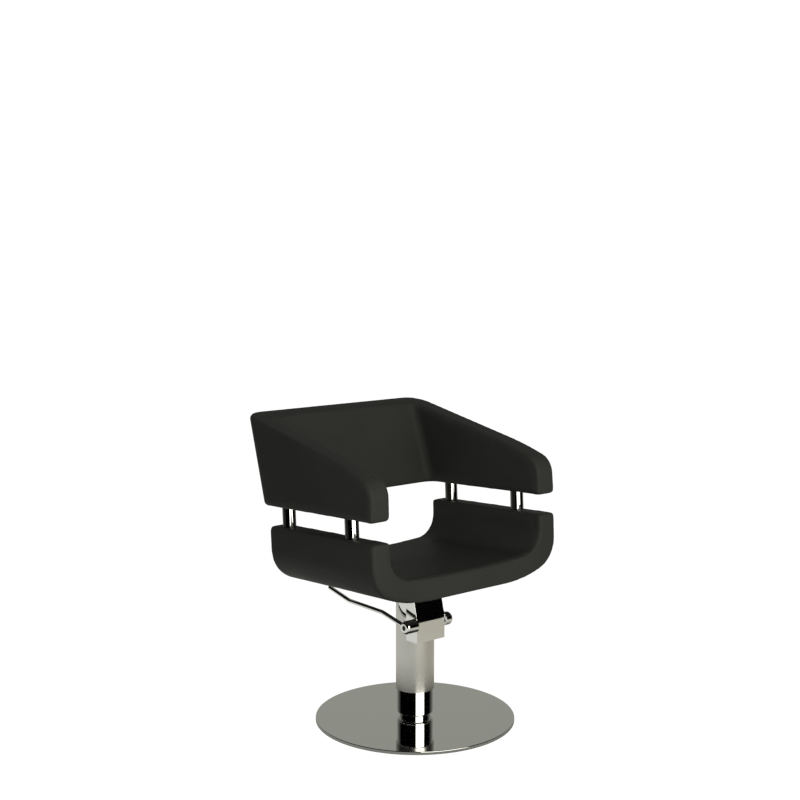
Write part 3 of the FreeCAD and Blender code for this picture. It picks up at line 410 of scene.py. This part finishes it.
rubber, rubber_tree, rubber_shader, rubber_place = finish_nodes(
    "ring_rubber", colour=(0.02, 0.02, 0.02), roughness=0.75, metallic=0.0)
ring_grain = cloudy(rubber_tree, rubber_place, scale=420.0)
relief(rubber_tree, rubber_shader, ring_grain, "Fac", depth=0.0002, strength=0.4)
dress(nodes["floor_ring"], rubber)
zinc = metal("zinc_plate", colour=(0.62, 0.63, 0.64), roughness=0.3, spread=0.08, grain=500.0)
dress(nodes["stem_screws"], zinc)

# Stem
# The fixed outer cylinder of the pump: a chromed tube, 100 mm across, that is rounded in
# at its foot to a short neck. The ram, its gland and the piston work inside it.

stem_low, stem_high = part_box("stem")
stem_radius = stem_high.x
neck_radius = 0.0433
neck_height = 0.008
stem_break = 0.0008
stem_rim = 0.005
foot_round = stem_radius - neck_radius
foot = corner_arc((neck_radius, stem_low.z + neck_height + foot_round), foot_round, -90, 0, 10)
stem = lathe("pump_stem", [
    (neck_radius, stem_low.z), (neck_radius, stem_low.z + neck_height), *foot,
    (stem_radius, stem_high.z - stem_break), (stem_radius - stem_break, stem_high.z),
    (stem_radius - stem_rim, stem_high.z)], around=160)
chrome = metal(
    "chrome", colour=(0.88, 0.88, 0.87), roughness=0.03, spread=0.01, grain=1200.0,
    depth=0.0000006)
dress(stem, chrome, "base", ["stem"])

ground_steel = metal(
    "ground_steel", colour=(0.60, 0.60, 0.59), roughness=0.22, spread=0.06, grain=300.0,
    stretch=(1, 1, 30))
casting = metal(
    "casting", colour=(0.19, 0.19, 0.19), roughness=0.55, spread=0.1, grain=260.0,
    depth=0.0003)
bronze = metal("bronze", colour=(0.60, 0.40, 0.20), roughness=0.3, spread=0.08, grain=400.0)
seal_rubber = rubber.copy()
seal_rubber.name = "seal_rubber"
for name in ("ram", "ram_gland", "ram_keeper", "pump_plunger",
             "cross_shaft", "crank_roller", "roller_pin"):
    dress(nodes[name], ground_steel)
for name in ("piston", "pump_body", "pump_crank"):
    dress(nodes[name], casting)
for name in ("gland_seal", "piston_seal"):
    dress(nodes[name], seal_rubber)
dress(nodes["thrust_washer"], bronze)
dress(nodes["piston_nut"], zinc)

# Sleeve
# A thin satin-plated tube, 106 mm across, that hangs from the seat plate and slides down
# over the stem. Its lower edge is turned in a little.

sleeve_low, sleeve_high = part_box("sleeve")
sleeve_radius = sleeve_high.x
sleeve_wall = 0.002
seat_rake = math.radians(3.18)
sleeve_edge = 0.0007
seat_plate_thick = 0.006
sleeve = lathe("pump_sleeve", [
    (sleeve_radius - sleeve_edge, sleeve_low.z), (sleeve_radius, sleeve_low.z + sleeve_edge),
    (sleeve_radius, sleeve_high.z), (sleeve_radius - sleeve_wall, sleeve_high.z),
    (sleeve_radius - sleeve_wall, sleeve_low.z)], around=160, hollow=True)
raked_up = Vector((0, math.sin(seat_rake), math.cos(seat_rake)))
plate_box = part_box("seat_plate")
under_plate = Vector((0, plate_box[0].y, plate_box[1].z - seat_plate_thick * math.cos(seat_rake)))


def trim_above(piece, point, normal):
    """Cuts a piece off above a plane and closes the cut."""
    bpy.ops.object.select_all(action="DESELECT")
    bpy.context.view_layer.objects.active = piece
    piece.select_set(True)
    bpy.ops.object.mode_set(mode="EDIT")
    bpy.ops.mesh.select_all(action="SELECT")
    bpy.ops.mesh.bisect(
        plane_co=point, plane_no=normal, clear_outer=True, use_fill=True, threshold=1e-6)
    bpy.ops.object.mode_set(mode="OBJECT")


trim_above(sleeve, under_plate, raked_up)
smooth_shade(sleeve, smooth_angle)
satin = metal(
    "satin_sleeve", colour=(0.65, 0.645, 0.605), roughness=0.27, spread=0.03, grain=420.0,
    stretch=(1, 1, 0.04), depth=0.00006)
dress(sleeve, satin, "seat", ["sleeve"])

# Head block
# A polished saddle round the front of the sleeve. Its front is upright below and leans back
# above, and its thin wall runs on round the sleeve. The lever's shaft crosses its cheeks.

shaft_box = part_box("cross_shaft")
shaft_y = (shaft_box[0].y + shaft_box[1].y) / 2
shaft_z = (shaft_box[0].z + shaft_box[1].z) / 2
block_low, block_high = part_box("head_block")
block_half = 0.0498
block_front = block_low.y
wrap_radius = block_high.x
block_rear = -math.sqrt(wrap_radius ** 2 - block_half ** 2)
block_bend_rise = 0.0103
block_bend_round = 0.014
block_side_round = 0.0014
block_lean = math.radians(13.5)
lean_front = -0.0548
trim_spare = 0.01
block_bend = shaft_z + block_bend_rise
lean_top = block_bend + (lean_front - block_front) / math.tan(block_lean)
block_levels = [
    (block_bend, block_front), (lean_top, lean_front),
    (block_high.z + trim_spare, lean_front)]
bpy.ops.object.select_all(action="DESELECT")
bpy.ops.mesh.primitive_cube_add(size=1, location=(0, (block_front + block_rear) / 2,
                                                  (block_low.z + block_bend) / 2))
block = bpy.context.object
block.name = block.data.name = "pump_head"
block.scale = (block_half * 2, block_rear - block_front, block_bend - block_low.z)
bpy.ops.object.transform_apply(location=True, rotation=True, scale=True)
bpy.ops.object.mode_set(mode="EDIT")
bpy.ops.mesh.select_mode(type="FACE")
chosen(block, lambda middle, normal: normal.z > 0.9)
height, front = block_levels[0]
for next_height, next_front in block_levels[1:]:
    bpy.ops.mesh.extrude_region_move(
        TRANSFORM_OT_translate={"value": (0, 0, next_height - height)})
    scale = (block_rear - next_front) / (block_rear - front)
    bpy.ops.transform.resize(
        value=(1, scale, 1), center_override=(0, block_rear, next_height))
    height, front = next_height, next_front
bpy.ops.mesh.select_all(action="SELECT")
bpy.ops.mesh.normals_make_consistent(inside=False)
bpy.ops.object.mode_set(mode="OBJECT")
trim_above(block, under_plate, raked_up)


def bevel_edges(piece, wanted, width, segments):
    """Rounds the edges whose two ends the test wants."""
    bpy.ops.object.mode_set(mode="EDIT")
    bpy.ops.mesh.select_mode(type="EDGE")
    bpy.ops.mesh.select_all(action="DESELECT")
    bpy.ops.object.mode_set(mode="OBJECT")
    points = piece.data.vertices
    for edge in piece.data.edges:
        edge.select = bool(wanted(points[edge.vertices[0]].co, points[edge.vertices[1]].co))
    bpy.ops.object.mode_set(mode="EDIT")
    bpy.ops.mesh.bevel(offset=width, segments=segments, affect="EDGES")
    bpy.ops.object.mode_set(mode="OBJECT")


near = 0.0001
lean_reach = -0.05


def front_bend(a, b):
    """The bend across the block's front."""
    level = abs(a.z - block_bend) < near and abs(b.z - block_bend) < near
    return level and max(a.y, b.y) < block_front + near


def front_side(a, b):
    """The two long edges down the sides of the block's front."""
    at_side = abs(abs(a.x) - block_half) < near and abs(a.x - b.x) < near
    return at_side and max(a.y, b.y) < lean_reach and abs(a.z - b.z) > near


bevel_edges(block, front_bend, block_bend_round, 10)
bevel_edges(block, front_side, block_side_round, 4)


def combined(piece, other, way):
    """Adds another solid to a piece or takes it away, and uses it up."""
    step = piece.modifiers.new("solid", "BOOLEAN")
    step.operation = way
    step.object = other
    step.solver = "EXACT"
    bpy.ops.object.select_all(action="DESELECT")
    bpy.context.view_layer.objects.active = piece
    piece.select_set(True)
    bpy.ops.object.modifier_apply(modifier="solid")
    bpy.data.objects.remove(other)


wrap_start = shaft_z + 0.007
wrap_lean = math.radians(43.9)
wrap_rear = 0.0055
wrap_blank = 0.2
bore_blank = 0.3
bore_clearance = 0.00005
bpy.ops.mesh.primitive_cylinder_add(
    vertices=160, radius=wrap_radius, depth=wrap_blank,
    location=(0, 0, wrap_start + wrap_blank / 2 - trim_spare))
wrap = bpy.context.object
wrap_cut = Vector((0, math.cos(wrap_lean), -math.sin(wrap_lean)))
trim_above(wrap, (0, block_rear, wrap_start), wrap_cut)
trim_above(wrap, (0, wrap_rear, 0), (0, 1, 0))
trim_above(wrap, under_plate, raked_up)
combined(block, wrap, "UNION")
bpy.ops.mesh.primitive_cylinder_add(
    vertices=160, radius=sleeve_radius + bore_clearance, depth=bore_blank,
    location=(0, 0, block_low.z + bore_blank / 3))
combined(block, bpy.context.object, "DIFFERENCE")
smooth_shade(block, 25)
polished = metal(
    "polished_head", colour=(0.84, 0.84, 0.82), roughness=0.06, spread=0.02, grain=900.0,
    depth=0.000003)
dress(block, polished, "seat", ["head_block"])

# Plunger spring
# A small coil of spring steel in the pump body's bore. It pushes the plunger back against
# the crank's roller, and shortens by the plunger's stroke when the lever is pressed.

spring = nodes["plunger_spring"].copy()
spring.data = nodes["plunger_spring"].data.copy()
bpy.context.scene.collection.objects.link(spring)
for key in list(spring.keys()):
    del spring[key]
spring.parent = None
spring.name = spring.data.name = "return_spring"
bpy.ops.object.select_all(action="DESELECT")
bpy.context.view_layer.objects.active = spring
spring.select_set(True)
bpy.ops.object.mode_set(mode="EDIT")
bpy.ops.mesh.select_all(action="SELECT")
bpy.ops.mesh.remove_doubles(threshold=1e-6)
bpy.ops.mesh.normals_make_consistent(inside=False)
bpy.ops.object.mode_set(mode="OBJECT")
bpy.ops.object.shade_smooth_by_angle(angle=math.radians(35))
dress(spring, ground_steel, "seat", ["plunger_spring"])
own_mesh(spring)

# Lever hub and knob
# Both sit on the ends of the cross shaft: on the left a boss with a well rounded rim and a
# dark plug in its end, on the right a fuller domed knob.

hub_low, hub_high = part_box("lever_hub")
hub_inner = -hub_high.x
hub_length = hub_high.x - hub_low.x
hub_radius = 0.018
hub_round = 0.008
plug_radius = 0.0068
plug_depth = 0.007
hub_bore = 0.006
hub_break = 0.0005
plug_lip = 0.0006
hub_rim = corner_arc((hub_radius - hub_round, hub_length - hub_round), hub_round, 0, 90, 12)
hub = lathe("hub", [
    (hub_bore, 0), (hub_radius - hub_break, 0), (hub_radius, hub_break), *hub_rim,
    (plug_radius + plug_lip, hub_length), (plug_radius, hub_length - plug_lip),
    (plug_radius, hub_length - plug_depth)], around=96)


def swing_to_x(piece, place, way):
    """Lays a piece turned about Z along the X axis and puts it in its place."""
    turn = Matrix.Rotation(math.pi / 2 * way, 4, "Y")
    piece.data.transform(Matrix.Translation(place) @ turn)
    piece.data.update()


swing_to_x(hub, (-hub_inner, shaft_y, shaft_z), -1)
dress(hub, chrome, "lever", ["lever_hub"])
plug_plastic, plug_tree, plug_shader, plug_place = finish_nodes(
    "plug_plastic", colour=(0.025, 0.025, 0.025), roughness=0.45, metallic=0.0)
plug_speckle = cloudy(plug_tree, plug_place, scale=900.0)
relief(plug_tree, plug_shader, plug_speckle, "Fac", depth=0.0001, strength=0.3)
dress(nodes["hub_plug"], plug_plastic)

knob_low, knob_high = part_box("shaft_knob")
knob_radius = (knob_high.z - knob_low.z) / 2
knob_length = knob_high.x - knob_low.x
knob_round = 0.011
knob_break = 0.0008
knob_bore = 0.0052
knob_bore_depth = 0.012
knob_pole = 0.002
knob_dome = corner_arc(
    (knob_radius - knob_round, knob_length - knob_round), knob_round, 0, 90, 12)
knob = lathe("knob", [
    (knob_bore, knob_bore_depth), (knob_bore, 0),
    (knob_radius - knob_break, 0), (knob_radius, knob_break),
    *knob_dome, (knob_pole, knob_length)], around=96)
swing_to_x(knob, (knob_low.x, shaft_y, shaft_z), 1)
dress(knob, chrome, "lever", ["shaft_knob"])

# Lever
# One chromed round bar, 12 mm thick, bent twice and rounded at its tip. It runs back from
# the hub under the seat, level at first and rising again at its end.

rod_radius = 0.006
rod_runs = (0.1002, 0.1421, 0.0946)
rod_bend = 0.055
rod_drop = math.radians(11.1)
rod_end_rise = math.radians(12.1)
rod_rise = math.radians(12.4)
rod_flare = math.radians(2.0)
rod_start = 0.0075
rod_offset = 0.08
bpy.ops.object.select_all(action="DESELECT")
bpy.ops.mesh.primitive_circle_add(
    vertices=40, radius=rod_radius, fill_type="NGON", rotation=(math.pi / 2, 0, 0))
rod = bpy.context.object
rod.name = rod.data.name = "lever"
bpy.ops.object.transform_apply(location=True, rotation=True, scale=True)
bpy.ops.object.mode_set(mode="EDIT")
bpy.ops.mesh.select_mode(type="FACE")
bpy.ops.mesh.select_all(action="SELECT")
cut_one = rod_bend * math.tan(rod_drop / 2)
cut_two = rod_bend * math.tan(rod_end_rise / 2)
way = 0.0
at = Vector((0, 0, 0))


def rod_run(length):
    """Draws the rod's end straight on."""
    step = Vector((0, math.cos(way), math.sin(way))) * length
    bpy.ops.mesh.extrude_region_move(TRANSFORM_OT_translate={"value": step})
    return at + step


def rod_turn(angle):
    """Sweeps the rod's end round a bend, up for a positive angle."""
    side = 1 if angle > 0 else -1
    centre = at + Vector((0, -math.sin(way), math.cos(way))) * rod_bend * side
    bpy.ops.mesh.spin(steps=10, angle=abs(angle), center=centre, axis=(-side, 0, 0))
    out = (at - centre)
    return centre + Matrix.Rotation(angle, 3, "X") @ out


at = rod_run(rod_runs[0] - rod_start - cut_one)
at = rod_turn(-rod_drop)
way -= rod_drop
at = rod_run(rod_runs[1] - cut_one - cut_two)
at = rod_turn(rod_end_rise)
way += rod_end_rise
tip_round = 0.0052
at = rod_run(rod_runs[2] - cut_two - tip_round)
tip_steps = 6
done = 0.0
size_now = 1.0
for step in range(1, tip_steps + 1):
    angle = math.pi / 2 * step / tip_steps
    reach = tip_round * math.sin(angle) - done
    at = rod_run(reach)
    done += reach
    size_next = (rod_radius - tip_round * (1 - math.cos(angle))) / rod_radius
    scale = size_next / size_now
    bpy.ops.transform.resize(value=(scale, scale, scale), center_override=at)
    size_now = size_next
bpy.ops.mesh.select_all(action="SELECT")
bpy.ops.mesh.remove_doubles(threshold=1e-6)
bpy.ops.mesh.normals_make_consistent(inside=False)
bpy.ops.object.mode_set(mode="OBJECT")
rod_aim = Matrix.Rotation(rod_flare, 4, "Z") @ Matrix.Rotation(rod_rise, 4, "X")
rod_foot = Vector((-rod_offset, shaft_y, shaft_z)) + rod_aim @ Vector((0, rod_start, 0))
rod.data.transform(Matrix.Translation(rod_foot) @ rod_aim)
bpy.ops.object.shade_smooth_by_angle(angle=math.radians(35))
dress(rod, chrome, "lever", ["lever_rod"])

# Seat plate
# A flat steel plate, black powder-coated, bolted up into the seat's core. The pump body
# is screwed to it from above before the seat goes on.

seat_front = -0.2138
arm_height = 0.62523
seat_frame = (Matrix.Translation((0, seat_front, arm_height))
              @ Matrix.Rotation(-seat_rake, 4, "X"))
seat_plate_drop = -0.2297
seat_plate_half = (0.115, 0.1)
seat_plate_corner = 0.014
seat_plate_break = 0.0008
column_back = 0.2269
bpy.ops.object.select_all(action="DESELECT")
bpy.ops.mesh.primitive_cube_add(
    size=1, location=(0, column_back, seat_plate_drop + seat_plate_thick / 2))
seat_plate = bpy.context.object
seat_plate.name = seat_plate.data.name = "mounting_plate"
seat_plate.scale = (seat_plate_half[0] * 2, seat_plate_half[1] * 2, seat_plate_thick)
bpy.ops.object.transform_apply(location=True, rotation=True, scale=True)
bevel_edges(
    seat_plate, lambda a, b: abs(a.z - b.z) > seat_plate_thick / 2, seat_plate_corner, 8)
bevel_edges(
    seat_plate, lambda a, b: max(a.z, b.z) < seat_plate_drop + near, seat_plate_break, 2)
seat_plate.data.transform(seat_frame)
smooth_shade(seat_plate, smooth_angle)
coating, coat_tree, coat_shader, coat_place = finish_nodes(
    "powder_coat", colour=(0.02, 0.02, 0.02), roughness=0.5, metallic=0.0)
coat_peel = cloudy(coat_tree, coat_place, scale=520.0)
relief(coat_tree, coat_shader, coat_peel, "Fac", depth=0.0002, strength=0.5)
dress(seat_plate, coating, "seat", ["seat_plate"])
for name in ("plate_screws", "seat_bolts", "post_studs"):
    dress(nodes[name], zinc)

# Posts
# Four plain chromed tubes, 36 mm across, that carry the back shell over the seat's sides.
# A stud runs through each. They stand square to the raked seat.

post_radius = 0.0182
post_height = 0.0518
post_break = 0.0004
stud_radius = 0.0045
post_side = 0.292
post_front = 0.119
post_rear = 0.395
post_places = {
    "post_left_front": (-post_side, post_front), "post_right_front": (post_side, post_front),
    "post_left_rear": (-post_side, post_rear), "post_right_rear": (post_side, post_rear),
}
for name, (x, s) in post_places.items():
    post = lathe(f"{name}_tube", [
        (post_radius - post_break, -post_height), (post_radius, -post_height + post_break),
        (post_radius, -post_break), (post_radius - post_break, 0), (stud_radius, 0)],
        around=96)
    post.data.transform(seat_frame @ Matrix.Translation((x, s, 0)))
    dress(post, chrome, "seat", [name])

# Upholstered shells
# Seat and back are moulded plywood cores under foam, drawn over with smooth black vinyl
# that has no seams in sight. The cover is tight, crowned a little on its wide faces.

plywood, ply_tree, ply_shader, ply_place = finish_nodes(
    "plywood", colour=(0.55, 0.40, 0.24), roughness=0.6, metallic=0.0)
ply_grain = cloudy(ply_tree, ply_place, scale=60.0, detail=5.0, stretch=(1, 0.1, 8))
ply_colour = ply_tree.nodes.new("ShaderNodeValToRGB")
ply_colour.color_ramp.elements[0].color = (0.42, 0.28, 0.15, 1)
ply_colour.color_ramp.elements[1].color = (0.66, 0.50, 0.31, 1)
link(ply_tree, ply_grain, "Fac", ply_colour, "Fac")
link(ply_tree, ply_colour, "Color", ply_shader, "Base Color")
for name in ("seat_core", "back_core"):
    dress(nodes[name], plywood)


vinyl_dark = (0.0305, 0.0308, 0.0285)
vinyl_light = (0.0345, 0.0348, 0.0325)
vinyl_gloss = 0.07
vinyl_roughness = (0.48, 0.56)
pebble_scale = 900.0


def vinyl_finish():
    """Smooth black upholstery vinyl: a fine pebble grain under a satin coat."""
    material, tree, shader, place = finish_nodes(
        "black_vinyl", colour=(0.031, 0.031, 0.030), roughness=0.5, metallic=0.0)
    shader.inputs["Specular IOR Level"].default_value = vinyl_gloss
    cloud = cloudy(tree, place, scale=5.0, detail=2.0)
    worn = rising(tree, cloud, "Fac", cloud_low, cloud_high, *vinyl_roughness)
    link(tree, worn, "Result", shader, "Roughness")
    tone = tree.nodes.new("ShaderNodeValToRGB")
    tone.color_ramp.elements[0].position = cloud_low
    tone.color_ramp.elements[1].position = cloud_high
    tone.color_ramp.elements[0].color = (*vinyl_dark, 1)
    tone.color_ramp.elements[1].color = (*vinyl_light, 1)
    link(tree, cloud, "Fac", tone, "Fac")
    link(tree, tone, "Color", shader, "Base Color")
    pebbles = tree.nodes.new("ShaderNodeTexVoronoi")
    pebbles.inputs["Scale"].default_value = pebble_scale
    link(tree, place, "Object", pebbles, "Vector")
    relief(tree, shader, pebbles, "Distance", depth=0.00012, strength=0.35)
    return material


vinyl = vinyl_finish()


def skin_of(node, name, rods):
    """A closed copy of a cover's outer wall: its screw holes shut and its inner wall gone."""
    skin = nodes[node].copy()
    skin.data = nodes[node].data.copy()
    bpy.context.scene.collection.objects.link(skin)
    for key in list(skin.keys()):
        del skin[key]
    skin.parent = None
    skin.name = skin.data.name = name
    bpy.ops.object.select_all(action="DESELECT")
    bpy.context.view_layer.objects.active = skin
    skin.select_set(True)
    bpy.ops.object.mode_set(mode="EDIT")
    bpy.ops.mesh.select_mode(type="FACE")
    bpy.ops.mesh.select_all(action="SELECT")
    bpy.ops.mesh.remove_doubles(threshold=1e-6)
    bpy.ops.object.mode_set(mode="OBJECT")
    to_seat = seat_frame.inverted()
    local = [to_seat @ vertex.co for vertex in skin.data.vertices]
    bpy.ops.object.mode_set(mode="EDIT")
    bpy.ops.mesh.select_all(action="DESELECT")
    bpy.ops.object.mode_set(mode="OBJECT")
    for face in skin.data.polygons:
        corners = [local[v] for v in face.vertices]
        face.select = any(
            all(math.hypot(p.x - x, p.y - s) < radius for p in corners)
            for x, s, radius in rods)
    bpy.ops.object.mode_set(mode="EDIT")
    bpy.ops.mesh.delete(type="ONLY_FACE")
    bpy.ops.mesh.select_all(action="DESELECT")
    bpy.ops.object.mode_set(mode="OBJECT")
    top = max(range(len(skin.data.vertices)), key=lambda v: skin.data.vertices[v].co.x)
    skin.data.vertices[top].select = True
    bpy.ops.object.mode_set(mode="EDIT")
    bpy.ops.mesh.select_mode(type="VERT")
    bpy.ops.mesh.select_linked()
    bpy.ops.mesh.select_all(action="INVERT")
    bpy.ops.mesh.delete(type="VERT")
    bpy.ops.mesh.select_all(action="SELECT")
    bpy.ops.mesh.fill_holes(sides=0)
    bpy.ops.object.mode_set(mode="OBJECT")
    return skin


draw_in_share = 0.1
inward_share = 0.15
air_pressure = 4.0
cloth_stretch = 60
cloth_bend = 8
settling_frames = 20


def upholster(skin, voxel, cap):
    """Remeshes a closed skin, lets air pressure crown it, and keeps it within the cap."""
    remesh = skin.modifiers.new("remesh", "REMESH")
    remesh.mode = "VOXEL"
    remesh.voxel_size = voxel
    shrink = skin.modifiers.new("draw_in", "DISPLACE")
    shrink.mid_level = 0
    shrink.strength = -cap * draw_in_share
    settle = skin.modifiers.new("settle", "SMOOTH")
    settle.factor = 0.5
    settle.iterations = 2
    for name in ("remesh", "draw_in", "settle"):
        bpy.ops.object.modifier_apply(modifier=name)
    start = [(vertex.co.copy(), vertex.normal.copy()) for vertex in skin.data.vertices]
    cloth = skin.modifiers.new("cloth", "CLOTH")
    cloth.settings.use_pressure = True
    cloth.settings.uniform_pressure_force = air_pressure
    cloth.settings.effector_weights.gravity = 0.0
    cloth.settings.tension_stiffness = cloth_stretch
    cloth.settings.compression_stiffness = cloth_stretch
    cloth.settings.bending_stiffness = cloth_bend
    cloth.collision_settings.use_collision = False
    for moment in range(1, settling_frames + 1):
        bpy.context.scene.frame_set(moment)
    bpy.ops.object.modifier_apply(modifier="cloth")
    bpy.context.scene.frame_set(1)
    for vertex, (home, outward) in zip(skin.data.vertices, start):
        step = vertex.co - home
        most = cap if step.dot(outward) > 0 else cap * inward_share
        if step.length > most:
            vertex.co = home + step * (most / step.length)
    even = skin.modifiers.new("even", "SMOOTH")
    even.factor = 0.4
    even.iterations = 2
    bpy.ops.object.modifier_apply(modifier="even")
    fine = skin.modifiers.new("fine", "SUBSURF")
    fine.levels = fine.render_levels = 1
    bpy.ops.object.modifier_apply(modifier="fine")
    bpy.ops.object.shade_smooth()


stud_reach = 0.0046
bolt_reach = 0.0047
bolt_sides = (-0.092, 0.092)
bolt_rows = (-0.076, 0.076)
skin_voxel = 0.005
skin_crown = 0.002
stud_holes = [(x, s, stud_reach) for x, s in post_places.values()]
bolt_holes = [(x, column_back + s, bolt_reach) for x in bolt_sides for s in bolt_rows]
seat = skin_of("seat_cover", "seat_upholstery", stud_holes + bolt_holes)
upholster(seat, skin_voxel, skin_crown)
dress(seat, vinyl, "seat", ["seat_cover", "seat_foam"])

back = skin_of("back_cover", "back_upholstery", stud_holes)
upholster(back, skin_voxel, skin_crown)
dress(back, vinyl, "seat", ["back_cover", "back_foam"])
